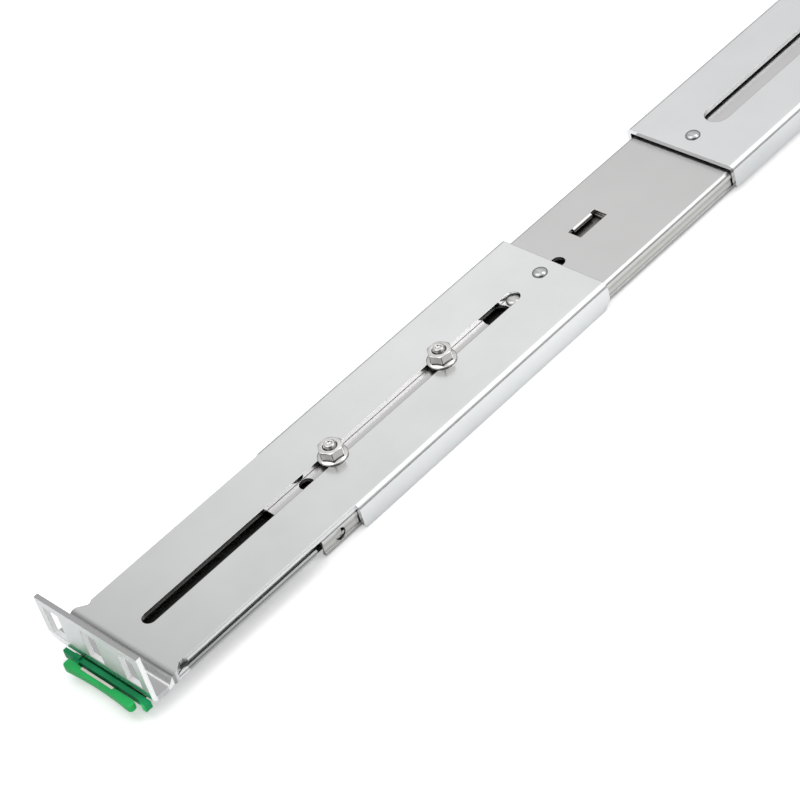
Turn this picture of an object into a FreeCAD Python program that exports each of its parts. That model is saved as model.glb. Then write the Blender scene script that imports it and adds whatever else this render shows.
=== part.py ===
import FreeCAD, Part
import math
import os
import Sketcher

# One sliding rail for a rack cabinet, lying with its cabinet side up, as it is photographed.
# +X runs back along the rail, +Y to the left seen from the front, +Z up out of the web.
# The origin is on the face of the front flange, mid width, level with the top of the front bracket.

os.makedirs("parts", exist_ok=True)
doc = FreeCAD.newDocument("sliding_rack_rail")
sizes = doc.addObject("Spreadsheet::Sheet", "sizes")

# Driving dimensions in millimetres. The hole pitch of the rack is the scale of the whole rail.
DIMENSIONS = {
    "post_pitch": 15.875,
    "rail_width": 43.6,
    "bracket_sheet": 1.5,
    "bend_radius": 2.0,
    "running_gap": 0.1,
    "side_gap": 0.2,
    "clear_gap": 0.3,
    "edge_round": 0.35,
    # front bracket
    "front_length": 189.0,
    "flange_top": 13.7,
    "joggle_drop": 2.3,
    "joggle_start": 6.3,
    "joggle_end": 8.2,
    "joggle_bend": 2.2,
    "ear_flat": 1.7,
    "ear_length": 4.6,
    "ear_round": 1.0,
    "notch_length": 0.9,
    "notch_lead": 1.2,
    "notch_half": 19.5,
    "near_half": 20.45,
    "sleeve_length": 107.7,
    "sleeve_depth": 8.55,
    "sleeve_corner": 3.0,
    "window_wide": 6.4,
    "window_low": 0.8,
    "window_high": 10.2,
    "flange_nick": 2.6,
    "wing_gap": 17.3,
    "wing_inset": 0.05,
    "wing_depth": 3.4,
    "wing_slit": 0.6,
    "wing_crown": 0.9,
    "wing_cut": 1.3,
    "slot_width": 4.8,
    "front_slot_start": 16.9,
    "front_slot_margin": 16.0,
    "dimple_radius": 2.35,
    "dimple_height": 0.7,
    "dimple_flat": 0.05,
    "front_dimple_margin": 5.9,
    # outer member of the telescopic slide
    "outer_gap": 3.1,
    "outer_length": 519.5,
    "outer_sheet": 1.2,
    "outer_depth": 6.3,
    "outer_bend": 1.5,
    "wall_band": 0.25,
    "band_top": 2.1,
    "band_high": 3.1,
    "small_hole_radius": 2.3,
    "large_hole_radius": 4.6,
    "first_hole_back": 13.9,
    "large_hole_ahead": 25.8,
    "second_hole_behind": 1.9,
    "lance_behind": 14.1,
    "lance_length": 12.4,
    "lance_wide": 5.3,
    "lance_side": 1.3,
    "lance_tab": 0.9,
    "lance_relief": 1.9,
    "stop_lug_back": 6.8,
    "stop_lug_radius": 2.0,
    "stop_lug_drop": 3.4,
    "lug_lap": 0.3,
    "lug_past": 0.9,
    "lug_half": 1.4,
    "lug_sheet": 0.6,
    "lug_proud": 0.15,
    # studs and flange nuts, M4
    "stud_radius": 2.0,
    "stud_head_radius": 3.2,
    "stud_head_high": 0.6,
    "stud_past_nut": 1.0,
    "stud_lead": 0.4,
    "front_stud_back": 25.4,
    "front_stud_pitch": 46.5,
    "rear_stud_pitch": 210.0,
    "rear_stud_margin": 26.6,
    "nut_flange_radius": 4.65,
    "nut_flange_high": 0.9,
    "nut_flats": 7.0,
    "nut_high": 4.0,
    "nut_turn": 0.35,
    # rear bracket
    "rear_length": 448.5,
    "rear_ahead": 100.5,
    "rear_rise": 0.8,
    "rear_wall_depth": 7.9,
    "rear_wall_margin": 16.0,
    "rear_slot_width": 8.6,
    "rear_slot_margin": 15.0,
    "rear_slot_past": 17.0,
    "rear_flange_top": 14.5,
    "rear_hole_radius": 3.5,
    "rear_hole_height": 6.4,
    "rear_dimple_margin": 6.9,
    "collar_radius": 6.0,
    "washer_sheet": 1.0,
    # balls, their races and retainers
    "ball_radius": 1.5,
    "small_ball_radius": 1.2,
    "race_gap": 0.05,
    "outer_ball_level": 5.9,
    "inner_ball_level": 6.75,
    "retainer_sheet": 0.6,
    "outer_retainer_back": 147.9,
    "inner_retainer_back": 163.0,
    "retainer_length": 240.0,
    "ball_pitch": 114.0,
    "retainer_margin": 6.0,
    # middle member
    "middle_start": 14.0,
    "members_margin": 6.6,
    "middle_top": 4.1,
    "middle_sheet": 1.0,
    "middle_floor_gap": 0.25,
    "outer_step": 2.3,
    "inner_step": 1.8,
    # inner member, which the server is screwed to
    "inner_start": 2.0,
    "inner_sheet": 1.0,
    "inner_wall_high": 2.95,
    "server_hole_radius": 2.2,
    "server_hole_place": 110.0,
    "server_hole_pitch": 200.0,
    # green release handle
    "handle_top": 2.5,
    "handle_bottom": 4.9,
    "handle_left": 15.0,
    "handle_right": 21.1,
    "plate_thick": 1.6,
    "channel_wide": 0.8,
    "bar_thick": 2.6,
    "bar_drop": 0.3,
    "bar_left": 11.4,
    "bar_right": 17.6,
    "bar_knob": 1.2,
    "finger_dish": 0.6,
    "finger_dish_radius": 130.0,
    "waist_left": 10.6,
    "waist_right": 7.4,
    "foot_thick": 2.4,
    "foot_wide": 1.5,
    "nub_place": 9.0,
    "nub_wide": 2.6,
    "nub_high": 0.65,
    "tongue_half": 9.0,
    "tongue_end": 12.0,
    "block_start": 2.6,
    # latch bar inside the inner member
    "latch_sheet": 0.8,
    "latch_left": 5.2,
    "latch_right": 8.4,
    "latch_end": 60.0,
    "rivet_radius": 1.5,
    "rivet_head_radius": 2.7,
    "rivet_head_high": 0.7,
    "first_rivet_place": 24.0,
    "rivet_pitch": 24.0,
    "latch_travel": 3.0,
    "spring_turn": 2.0,
    "spring_wire": 0.5,
    "spring_wide": 8.0,
    "anchor_thick": 1.0,
    "anchor_high": 1.6,
    # lever that frees the inner member
    "lever_place": 245.0,
    "lever_length": 44.0,
    "lever_hub": 5.0,
    "lever_thick": 1.2,
    "lever_arm": 4.0,
    "lever_tail": 8.0,
    "leaf_side": 3.4,
    "leaf_sheet": 0.4,
    "leaf_high": 1.0,
    "leaf_start": 5.0,
    "leaf_end": 24.0,
    # end stops
    "bumper_length": 4.0,
    "bumper_gap": 0.5,
}

for row, (name, size) in enumerate(DIMENSIONS.items(), start=1):
    sizes.set("A%d" % row, name)
    sizes.set("B%d" % row, str(size))
    sizes.setAlias("B%d" % row, name)

# Levels and widths that follow from the driving dimensions, as formulas in the same sheet.
DERIVED = {
    "half_width": "rail_width / 2",
    "inside_half": "half_width - bracket_sheet",
    "outer_half": "inside_half - side_gap",
    "outer_top": "bracket_sheet + running_gap",
    "outer_under": "outer_top + outer_sheet",
    "outer_inside": "outer_half - outer_sheet",
    "middle_half": "outer_inside - outer_step",
    "middle_under": "middle_top + middle_sheet",
    "middle_inside": "middle_half - middle_sheet",
    "inner_half": "middle_inside - inner_step",
    "floor_level": "sleeve_depth",
    "inner_web_top": "floor_level - inner_sheet",
    "outer_ball_side": "(outer_inside + middle_half) / 2",
    "inner_ball_side": "(middle_inside + inner_half) / 2",
    "race_radius": "ball_radius + race_gap",
    "small_race_radius": "small_ball_radius + race_gap",
    "rear_under": "bracket_sheet - rear_rise",
    "sleeve_start": "front_length - sleeve_length",
    "ear_end": "joggle_end + ear_length",
    "wing_end": "sleeve_start - wing_gap",
    "wing_top": "-bracket_sheet - wing_slit",
    "outer_start": "wing_end + outer_gap",
    "outer_end": "outer_start + outer_length",
    "members_end": "outer_end - members_margin",
    "front_slot_end": "front_length - front_slot_margin",
    "front_dimple_place": "front_length - front_dimple_margin",
    "front_stud_place": "outer_start + front_stud_back",
    "first_hole_place": "outer_start + first_hole_back",
    "outer_dimple_place": "front_slot_end - slot_width / 2",
    "large_hole_place": "front_length - large_hole_ahead",
    "second_hole_place": "front_length + second_hole_behind",
    "lance_start": "front_length + lance_behind",
    "stop_lug_place": "outer_start + stop_lug_back",
    "rear_stud_place": "outer_end - rear_stud_margin - rear_stud_pitch",
    "rear_start": "rear_stud_place - rear_ahead",
    "rear_end": "rear_start + rear_length",
    "rear_wall_end": "rear_end - rear_wall_margin",
    "rear_slot_start": "rear_start + rear_slot_margin",
    "rear_slot_end": "rear_stud_place + rear_stud_pitch + rear_slot_past",
    "rear_dimple_place": "rear_start + rear_dimple_margin",
    "outer_retainer_start": "outer_start + outer_retainer_back",
    "inner_retainer_start": "inner_start + inner_retainer_back",
    "nut_corner": "nut_flats / 1.7320508",
    "plate_front": "-clear_gap - plate_thick",
    "bar_back": "plate_front - channel_wide",
    "bar_front": "bar_back - bar_thick",
    "bar_middle": "(bar_left - bar_right) / 2",
    "rear_nut_seat": "rear_rise + washer_sheet",
    "latch_top": "inner_web_top - running_gap - latch_sheet",
    "latch_middle": "(latch_left - latch_right) / 2",
    "latch_under": "inner_web_top - running_gap",
    "anchor_place": "latch_end + spring_turn * 9",
    "lever_top": "latch_under - lever_thick",
    "rear_place": "lever_place + leaf_end",
}
for row, (name, formula) in enumerate(DERIVED.items(), start=len(DIMENSIONS) + 1):
    sizes.set("A%d" % row, name)
    sizes.set("B%d" % row, "=" + formula)
    sizes.setAlias("B%d" % row, name)
doc.recompute()


def named(formula):
    """The formula with each size looked up in the sheet."""
    words = []
    for word in formula.replace("(", " ( ").replace(")", " ) ").split():
        bare = word.lstrip("-")
        known = bare in DIMENSIONS or bare in DERIVED
        words.append(word.replace(bare, "sizes." + bare) if known else word)
    return " ".join(words)


def value(formula):
    """The number that a formula gives now."""
    return float(sizes.evalExpression(named(formula)))


def own_plane(body, role):
    """One of the body's own origin planes or axes."""
    return next(item for item in body.Origin.OriginFeatures if item.Role == role)


def new_sketch(body, name, role, level):
    """An empty sketch on one of the body's own planes, at a level along that plane's normal."""
    sketch = body.newObject("Sketcher::SketchObject", name)
    sketch.AttachmentSupport = [(own_plane(body, role), "")]
    sketch.MapMode = "FlatFace"
    sketch.setExpression("AttachmentOffset.Base.z", named(level))
    return sketch


def bind(sketch, kind, where, formula):
    """A constraint whose size follows the sheet."""
    number = sketch.addConstraint(Sketcher.Constraint(kind, *where, value(formula)))
    sketch.setExpression("Constraints[%d]" % number, named(formula))


def outline(body, name, role, corners, level="0"):
    """A closed outline of straight lines, each corner a pair of formulas."""
    sketch = new_sketch(body, name, role, level)
    places = [FreeCAD.Vector(value(across), value(along), 0) for across, along in corners]
    count = len(corners)
    for number in range(count):
        sketch.addGeometry(Part.LineSegment(places[number], places[(number + 1) % count]))
    for number in range(count):
        sketch.addConstraint(Sketcher.Constraint("Coincident", number, 2, (number + 1) % count, 1))
    for number, (across, along) in enumerate(corners):
        bind(sketch, "DistanceX", (-1, 1, number, 1), across)
        bind(sketch, "DistanceY", (-1, 1, number, 1), along)
    return sketch


def rectangle(body, name, role, low, high, level="0"):
    """A rectangle from its low corner to its high corner."""
    corners = [low, (high[0], low[1]), high, (low[0], high[1])]
    return outline(body, name, role, corners, level)


def circle(body, name, role, centre, radius, level="0"):
    """A circle whose centre and radius are formulas."""
    sketch = new_sketch(body, name, role, level)
    middle = FreeCAD.Vector(value(centre[0]), value(centre[1]), 0)
    sketch.addGeometry(Part.Circle(middle, FreeCAD.Vector(0, 0, 1), value(radius)))
    bind(sketch, "Radius", (0,), radius)
    bind(sketch, "DistanceX", (-1, 1, 0, 3), centre[0])
    bind(sketch, "DistanceY", (-1, 1, 0, 3), centre[1])
    return sketch


def pad(body, sketch, name, length, back=False):
    """Material from the sketch along its normal, or against it."""
    feature = body.newObject("PartDesign::Pad", name)
    feature.Profile = sketch
    feature.setExpression("Length", named(length))
    feature.Reversed = back
    return feature


def cut(body, sketch, name, length, back=False):
    """A pocket that starts at the sketch and runs along its normal, or against it."""
    feature = body.newObject("PartDesign::Pocket", name)
    feature.Profile = sketch
    feature.setExpression("Length", named(length))
    feature.Reversed = not back
    doc.recompute()
    taken = feature.BaseFeature.Shape.Volume - feature.Shape.Volume
    if taken <= 0:
        raise RuntimeError(name + " cuts nothing")
    return feature


def repeat(body, feature, name, direction, pitch, count):
    """Copies of a feature in a row along one of the body's axes."""
    doc.recompute()
    row = body.newObject("PartDesign::LinearPattern", name)
    row.Originals = [feature]
    row.Direction = (own_plane(body, direction), [""])
    row.Occurrences = count
    row.setExpression("Length", named("( %s ) * %d" % (pitch, count - 1)))
    body.Tip = row
    return row


def near(number, formula):
    """Whether a coordinate is at the place that a formula gives."""
    return abs(number - value(formula)) < 0.01


def straight_edges(body, axis, across, along, within=None):
    """Names of the tip's straight edges along an axis that pass through a place."""
    doc.recompute()
    others = [letter for letter in "xyz" if letter != axis]
    names = []
    for number, edge in enumerate(body.Tip.Shape.Edges, start=1):
        ends = [vertex.Point for vertex in edge.Vertexes]
        if len(ends) != 2 or edge.Curve.TypeId != "Part::GeomLine":
            continue
        if abs(getattr(ends[0] - ends[1], axis)) < 0.05:
            continue
        place = edge.CenterOfMass
        if within and not value(within[0]) < getattr(place, axis) < value(within[1]):
            continue
        hit_across = near(abs(getattr(place, others[0])), across)
        hit_along = near(getattr(place, others[1]), along)
        if hit_across and hit_along:
            names.append("Edge%d" % number)
    return names


def rounded(body, name, names, radius):
    """A bend or corner of a given radius on named edges of the tip."""
    base = body.Tip
    feature = body.newObject("PartDesign::Fillet", name)
    feature.Base = (base, names)
    feature.setExpression("Radius", named(radius))
    doc.recompute()
    if not names or feature.Shape.isNull():
        raise RuntimeError(name + " rounds nothing")
    return feature


def new_body(name):
    """A sub-part, labelled with the name of its file."""
    body = doc.addObject("PartDesign::Body", name)
    body.Label = name
    return body


def channel(body, start, length, half, top, sheet, depth, bend):
    """A folded channel along X, web up: the outside half width, top and depth, with its bends."""
    inside = "%s - %s" % (half, sheet)
    corners = [
        ("-(%s)" % half, "-(%s)" % depth), ("-(%s)" % half, top),
        (half, top), (half, "-(%s)" % depth),
        (inside, "-(%s)" % depth), (inside, "%s - %s" % (top, sheet)),
        ("-(%s)" % inside, "%s - %s" % (top, sheet)), ("-(%s)" % inside, "-(%s)" % depth),
    ]
    section = outline(body, body.Name + "_section", "YZ_Plane", corners, start)
    pad(body, section, body.Name + "_strip", length)
    edges = straight_edges(body, "x", half, top)
    rounded(body, body.Name + "_bends", edges, bend)
    if value(bend) > value(sheet):
        edges = straight_edges(body, "x", inside, "%s - %s" % (top, sheet))
        rounded(body, body.Name + "_inner_bends", edges, "%s - %s" % (bend, sheet))


def slot(body, name, start, end, width, level, deep):
    """A lengthwise slot with round ends, cut up through a web from a level below it."""
    sketch = new_sketch(body, name + "_outline", "XY_Plane", level)
    radius = value(width + " / 2")
    first = value(start) + radius
    last = value(end) - radius
    up = FreeCAD.Vector(0, 0, 1)
    left = math.pi / 2
    ends = [(first, left, 3 * left), (last, -left, left)]
    for place, begin, finish in ends:
        rim = Part.Circle(FreeCAD.Vector(place, 0, 0), up, radius)
        sketch.addGeometry(Part.ArcOfCircle(rim, begin, finish))
    for side in (-radius, radius):
        sketch.addGeometry(Part.LineSegment(FreeCAD.Vector(first, side, 0), FreeCAD.Vector(last, side, 0)))
    # the arcs run from +Y round the front to -Y, and from -Y round the back to +Y
    for joint in ((0, 2, 2, 1), (2, 2, 1, 1), (1, 2, 3, 2), (3, 1, 0, 1)):
        sketch.addConstraint(Sketcher.Constraint("Tangent", *joint))
    sketch.addConstraint(Sketcher.Constraint("Equal", 0, 1))
    bind(sketch, "Radius", (0,), width + " / 2")
    sketch.addConstraint(Sketcher.Constraint("PointOnObject", 0, 3, -1))
    sketch.addConstraint(Sketcher.Constraint("PointOnObject", 1, 3, -1))
    bind(sketch, "DistanceX", (-1, 1, 0, 3), "%s + %s / 2" % (start, width))
    bind(sketch, "DistanceX", (-1, 1, 1, 3), "%s - %s / 2" % (end, width))
    return cut(body, sketch, name, deep)


def dimple(body, name, place, top):
    """A domed locating boss pressed up out of a web."""
    sketch = circle(body, name + "_ring", "XY_Plane", (place, "0"), "dimple_radius", top)
    pad(body, sketch, name, "dimple_height")
    doc.recompute()
    names = []
    for number, edge in enumerate(body.Tip.Shape.Edges, start=1):
        if edge.Curve.TypeId == "Part::GeomCircle" and near(edge.CenterOfMass.x, place):
            if near(edge.CenterOfMass.z, "%s + dimple_height" % top):
                names.append("Edge%d" % number)
    rounded(body, name + "_dome", names, "dimple_height - dimple_flat")


def front_bracket():
    """One zinc plated sheet: post flange, joggle, wings, slotted web and the sleeve round the slide."""
    body = new_body("front_bracket")
    # the sleeve is folded round the slide
    sleeve = [
        ("-half_width", "-sleeve_depth"), ("-half_width", "0"), ("half_width", "0"),
        ("half_width", "-sleeve_depth"), ("inside_half", "-sleeve_depth"),
        ("inside_half", "-bracket_sheet"), ("-inside_half", "-bracket_sheet"),
        ("-inside_half", "-sleeve_depth"),
    ]
    section = outline(body, "sleeve_section", "YZ_Plane", sleeve, "sleeve_start")
    pad(body, section, "sleeve", "front_length - sleeve_start")
    edges = straight_edges(body, "x", "half_width", "0", ("sleeve_start", "front_length"))
    rounded(body, "sleeve_bends", edges, "bend_radius")
    edges = straight_edges(body, "x", "inside_half", "-bracket_sheet", ("sleeve_start", "front_length"))
    rounded(body, "sleeve_inner_bends", edges, "bend_radius - bracket_sheet")
    # the walls' lower corners are cut off at the back and rounded at the front
    for side, reach in (("left", "-half_width - 1"), ("right", "inside_half - 1")):
        corner = outline(body, side + "_wall_corner", "XZ_Plane", [
            ("front_length + 1", "-sleeve_depth + sleeve_corner"),
            ("front_length", "-sleeve_depth + sleeve_corner"),
            ("front_length - sleeve_corner", "-sleeve_depth"),
            ("front_length - sleeve_corner", "-sleeve_depth - 1"),
            ("front_length + 1", "-sleeve_depth - 1"),
        ], reach)
        cut(body, corner, side + "_wall_chamfer", "bracket_sheet + 2")
    edges = straight_edges_y(body, "sleeve_start", "-sleeve_depth")
    rounded(body, "wall_front_corners", edges, "sleeve_corner / 2")
    # in front of the sleeve the web is narrower, with its cut edges broken
    web = outline(body, "web_section", "YZ_Plane", [
        ("-near_half", "-bracket_sheet"), ("-near_half", "-edge_round"),
        ("-near_half + edge_round", "0"), ("near_half - edge_round", "0"),
        ("near_half", "-edge_round"), ("near_half", "-bracket_sheet"),
    ], "ear_end")
    pad(body, web, "web", "sleeve_start - ear_end")
    # flange, lower plate, joggle and ears are one folded strip across the full width
    low = "-joggle_drop - bracket_sheet"
    fold = [
        ("0", "flange_top"), ("0", low), ("joggle_start + bracket_sheet / 2", low),
        ("joggle_end + bracket_sheet / 2", "-bracket_sheet"), ("ear_end", "-bracket_sheet"),
        ("ear_end", "0"), ("joggle_end", "0"), ("joggle_start", "-joggle_drop"),
        ("bracket_sheet", "-joggle_drop"), ("bracket_sheet", "flange_top"),
    ]
    section = outline(body, "fold_section", "XZ_Plane", fold, "-half_width")
    pad(body, section, "fold", "rail_width")
    bends = (("flange_heel", "0", low, "bend_radius"),
             ("flange_root", "bracket_sheet", "-joggle_drop", "bend_radius - bracket_sheet"),
             ("joggle_shoulder", "joggle_end", "0", "joggle_bend"),
             ("joggle_heel", "joggle_start + bracket_sheet / 2", low, "joggle_bend"),
             ("joggle_foot", "joggle_start", "-joggle_drop", "joggle_bend - bracket_sheet"),
             ("joggle_crook", "joggle_end + bracket_sheet / 2", "-bracket_sheet",
              "joggle_bend - bracket_sheet"))
    for name, across, along, radius in bends:
        rounded(body, name, straight_edges_y(body, across, along), radius)
    # behind each ear the edge swings in to a notch and out again to the web
    for side, sign in (("left", ""), ("right", "-")):
        notch = outline(body, side + "_notch_outline", "XY_Plane", [
            ("joggle_end + ear_flat", sign + "half_width"), ("ear_end", sign + "notch_half"),
            ("ear_end + notch_length", sign + "notch_half"),
            ("ear_end + notch_length + notch_lead", sign + "near_half"),
            ("ear_end + notch_length + notch_lead", "%s(half_width + ear_round)" % sign),
            ("joggle_end + ear_flat", "%s(half_width + ear_round)" % sign),
        ], "-bracket_sheet")
        cut(body, notch, side + "_notch", "bracket_sheet")
    for side, sign in (("left", ""), ("right", "-")):
        corner = straight_edges(body, "z", "joggle_end + ear_flat", sign + "half_width")
        rounded(body, side + "_ear_corner", corner, "ear_round")
    # side wings, slit free of the web behind the ears, with a rounded crown
    for side, reach in (("left", "-half_width + wing_inset"), ("right", "inside_half - wing_inset")):
        wing = outline(body, side + "_wing_outline", "XZ_Plane", [
            ("bracket_sheet", "-joggle_drop - bracket_sheet / 2"), ("bracket_sheet", low),
            ("ear_end", "-wing_depth"), ("wing_end - wing_cut", "-wing_depth"),
            ("wing_end", "wing_top - edge_round"), ("wing_end", "wing_top"),
            ("joggle_end + ear_flat", "wing_top"), ("joggle_end + ear_flat", "-bracket_sheet / 2"),
            ("joggle_end", "-bracket_sheet / 2"), ("joggle_start", "-joggle_drop - bracket_sheet / 2"),
        ], reach)
        pad(body, wing, side + "_wing", "bracket_sheet")
    edges = straight_edges(body, "x", "half_width - wing_inset", "wing_top")
    rounded(body, "wing_crowns", edges, "wing_crown")
    edges = straight_edges(body, "x", "inside_half - wing_inset", "wing_top")
    rounded(body, "wing_inner_crowns", edges, "edge_round")
    slot(body, "stud_slot", "front_slot_start", "front_slot_end", "slot_width", "-bracket_sheet",
         "bracket_sheet")
    # windows of the post flange, on the pitch of the rack's holes
    window = rectangle(body, "window_outline", "YZ_Plane",
                       ("-post_pitch - window_wide / 2", "window_low"),
                       ("-post_pitch + window_wide / 2", "window_low + window_high"))
    first = cut(body, window, "window", "bracket_sheet")
    repeat(body, first, "windows", "Y_Axis", "post_pitch", 3)
    nick = outline(body, "flange_nick_outline", "YZ_Plane", [
        ("half_width - flange_nick * 2", "-joggle_drop - bracket_sheet"),
        ("half_width + 1", "-joggle_drop - bracket_sheet"),
        ("half_width + 1", "-joggle_drop - bracket_sheet + flange_nick"),
        ("half_width", "-joggle_drop - bracket_sheet + flange_nick"),
    ])
    cut(body, nick, "flange_corner", "bend_radius")
    dimple(body, "locating_dimple", "front_dimple_place", "0")
    return body


def straight_edges_y(body, across, along):
    """Names of the tip's edges along Y at a place along X and a level."""
    doc.recompute()
    names = []
    for number, edge in enumerate(body.Tip.Shape.Edges, start=1):
        ends = [vertex.Point for vertex in edge.Vertexes]
        if len(ends) != 2 or abs(ends[0].y - ends[1].y) < 0.2:
            continue
        if near(edge.CenterOfMass.x, across) and near(edge.CenterOfMass.z, along):
            names.append("Edge%d" % number)
    return names


def rear_bracket():
    """The longer bracket behind: a slotted channel with a flange turned up for the rear post."""
    body = new_body("rear_bracket")
    channel(body, "rear_start", "rear_wall_end - rear_start", "half_width", "rear_rise",
            "bracket_sheet", "rear_wall_depth - rear_rise", "bend_radius")
    fold = [
        ("rear_wall_end", "rear_rise"), ("rear_end - bracket_sheet", "rear_rise"),
        ("rear_end - bracket_sheet", "rear_flange_top"), ("rear_end", "rear_flange_top"),
        ("rear_end", "-rear_under"), ("rear_wall_end", "-rear_under"),
    ]
    section = outline(body, "rear_fold_section", "XZ_Plane", fold, "-half_width + bend_radius")
    pad(body, section, "rear_fold", "rail_width - bend_radius * 2")
    doc.recompute()
    rounded(body, "rear_heel", straight_edges_y(body, "rear_end", "-rear_under"), "bend_radius")
    rounded(body, "rear_heel_inside", straight_edges_y(body, "rear_end - bracket_sheet", "rear_rise"),
            "bend_radius - bracket_sheet")
    post = rectangle(body, "rear_flange_outline", "YZ_Plane",
                     ("-half_width", "rear_rise + bend_radius"), ("half_width", "rear_flange_top"),
                     "rear_end - bracket_sheet")
    pad(body, post, "rear_flange", "bracket_sheet")
    slot(body, "rear_slot", "rear_slot_start", "rear_slot_end", "rear_slot_width", "-rear_under",
         "bracket_sheet")
    hole = circle(body, "post_hole_outline", "YZ_Plane", ("-post_pitch", "rear_hole_height"),
                  "rear_hole_radius", "rear_end - bracket_sheet")
    first = cut(body, hole, "post_hole", "bracket_sheet")
    repeat(body, first, "post_holes", "Y_Axis", "post_pitch", 3)
    dimple(body, "rear_dimple", "rear_dimple_place", "rear_rise")
    return body


def race(body, name, side, level, radius, start, length):
    """A round groove along a wall for the balls to run in."""
    groove = circle(body, name + "_round", "YZ_Plane", (side, "-(%s)" % level), radius, start)
    cut(body, groove, name, length)


def outer_member():
    """The cabinet member of the slide: roll formed steel channel with a ball race in each wall."""
    body = new_body("outer_member")
    channel(body, "outer_start", "outer_length", "outer_half", "-outer_top", "outer_sheet",
            "outer_top + outer_depth", "outer_bend")
    for side, sign in (("left", ""), ("right", "-")):
        race(body, side + "_outer_race", sign + "outer_ball_side", "outer_ball_level",
             "race_radius", "outer_start", "outer_length")
        inner_edge = "outer_half - wall_band"
        edges = (inner_edge, "outer_half") if side == "left" else ("-outer_half", "-outer_half + wall_band")
        band = rectangle(body, side + "_band_outline", "YZ_Plane",
                         (edges[0], "-outer_top - band_top - band_high"),
                         (edges[1], "-outer_top - band_top"), "outer_start")
        cut(body, band, side + "_band", "outer_length")
        # half round stop near the front end, pierced through the wall and pushed in
        through = "outer_sheet + lug_past * 2"
        reach = "-outer_half - lug_past" if side == "left" else "outer_inside - lug_past"
        lug = circle(body, side + "_lug_hole_outline", "XZ_Plane",
                     ("stop_lug_place", "-outer_top - stop_lug_drop"), "stop_lug_radius", reach)
        cut(body, lug, side + "_lug_hole", through)
        reach = "-outer_inside - lug_sheet + lug_proud" if side == "left" else "outer_inside - lug_proud"
        tongue = rectangle(body, side + "_lug_outline", "XZ_Plane",
                           ("stop_lug_place - stop_lug_radius - lug_lap", "-outer_top - stop_lug_drop - lug_half"),
                           ("stop_lug_place + lug_past", "-outer_top - stop_lug_drop + lug_half"), reach)
        pad(body, tongue, side + "_lug", "lug_sheet")
        doc.recompute()
    below = "-outer_under"
    for name, place, radius in (("first_hole", "first_hole_place", "small_hole_radius"),
                                ("large_hole", "large_hole_place", "large_hole_radius"),
                                ("second_hole", "second_hole_place", "small_hole_radius")):
        hole = circle(body, name + "_outline", "XY_Plane", (place, "0"), radius, below)
        cut(body, hole, name, "outer_sheet")
    # the lanced window keeps its bent edge on the left, between two relief notches
    lance = outline(body, "lance_outline", "XY_Plane", [
        ("lance_start", "lance_side"), ("lance_start + lance_length", "lance_side"),
        ("lance_start + lance_length", "lance_side + lance_wide"),
        ("lance_start + lance_length - lance_relief", "lance_side + lance_wide"),
        ("lance_start + lance_length - lance_relief", "lance_side + lance_wide - lance_tab"),
        ("lance_start + lance_relief", "lance_side + lance_wide - lance_tab"),
        ("lance_start + lance_relief", "lance_side + lance_wide"),
        ("lance_start", "lance_side + lance_wide"),
    ], below)
    cut(body, lance, "lance_window", "outer_sheet")
    edges = straight_edges(body, "x", "lance_side + lance_wide - lance_tab", "-outer_top")
    rounded(body, "lance_bent_edge", edges, "lance_tab")
    for name, place, pitch in (("front", "front_stud_place", "front_stud_pitch"),
                               ("rear", "rear_stud_place", "rear_stud_pitch")):
        hole = circle(body, name + "_stud_hole_outline", "XY_Plane", (place, "0"),
                      "stud_radius + race_gap", below)
        first = cut(body, hole, name + "_stud_hole", "outer_sheet")
        repeat(body, first, name + "_stud_holes", "X_Axis", pitch, 2)
        seat = circle(body, name + "_stud_seat_outline", "XY_Plane", (place, "0"),
                      "stud_head_radius + race_gap", below)
        first = cut(body, seat, name + "_stud_seat", "stud_head_high")
        repeat(body, first, name + "_stud_seats", "X_Axis", pitch, 2)
    doc.recompute()
    dimple(body, "outer_dimple", "outer_dimple_place", "-outer_top")
    return body


def turned(body, name, place, corners, groove=False):
    """A ring of material, or a ring cut away, about an upright axis: corners are radius and level."""
    sketch = outline(body, name + "_profile", "XZ_Plane", corners, "-(%s)" % place[1])
    sketch.setExpression("AttachmentOffset.Base.x", named(place[0]))
    kind = "PartDesign::Groove" if groove else "PartDesign::Revolution"
    feature = body.newObject(kind, name)
    feature.Profile = sketch
    feature.ReferenceAxis = (sketch, ["V_Axis"])
    feature.Angle = 360
    doc.recompute()
    return feature


def whole_row(body, name, pitch, count):
    """The body so far repeated along X, as loose pieces of one node."""
    doc.recompute()
    row = body.newObject("PartDesign::LinearPattern", name)
    row.TransformMode = "Whole shape"
    row.Direction = (own_plane(body, "X_Axis"), [""])
    row.Occurrences = count
    row.setExpression("Length", named("( %s ) * %d" % (pitch, count - 1)))
    body.Tip = row
    return row


def studs(name, place, pitch, nut_base):
    """Press-in studs, their flat heads let into the underside of the slide's web."""
    body = new_body(name)
    top = "%s + nut_high + stud_past_nut" % nut_base
    turned(body, name + "_stud", (place, "0"), [
        ("0", "-outer_under"), ("stud_head_radius", "-outer_under"),
        ("stud_head_radius", "-outer_under + stud_head_high"), ("stud_radius", "-outer_under + stud_head_high"),
        ("stud_radius", "%s - stud_lead" % top), ("stud_radius - stud_lead", top), ("0", top),
    ])
    whole_row(body, name + "_row", pitch, 2)
    return body


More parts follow.
